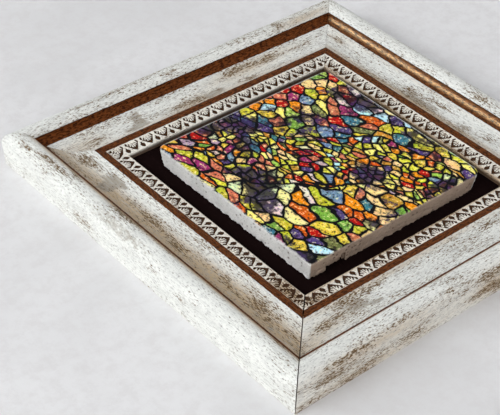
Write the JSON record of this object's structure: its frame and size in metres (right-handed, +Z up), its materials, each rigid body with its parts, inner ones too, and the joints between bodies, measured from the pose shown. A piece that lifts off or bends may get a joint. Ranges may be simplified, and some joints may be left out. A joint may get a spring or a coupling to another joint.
{
  "type": "framed stone wall plaque",
  "caption": "Square stone tile with a printed picture, fixed to a black board inside a deep mitred moulding with a carved leaf band, made to hang on a wall.",
  "frame": {"origin": "on the flat back face of the top rail, at mid width and mid length, where the plaque hangs", "axes": "+X to the plaque's right as its front is seen, +Z up, +Y into the wall; the front faces -Y and the back lies in Y = 0"},
  "size_m": [0.2006, 0.0177, 0.2006],
  "materials": {
    "frame_moulding": "distressed off-white paint with brown wear and two dark brown bands, satin",
    "backing_board": "matt black",
    "stone_tile": "tumbled, pitted sides and a glossy printed face"
  },
  "bodies": {
    "root": {"frame_rail_top": "frame_moulding", "frame_rail_right": "frame_moulding", "frame_rail_bottom": "frame_moulding", "frame_rail_left": "frame_moulding", "backing_board": "backing_board", "stone_tile": "stone_tile"}
  },
  "joints": []
}
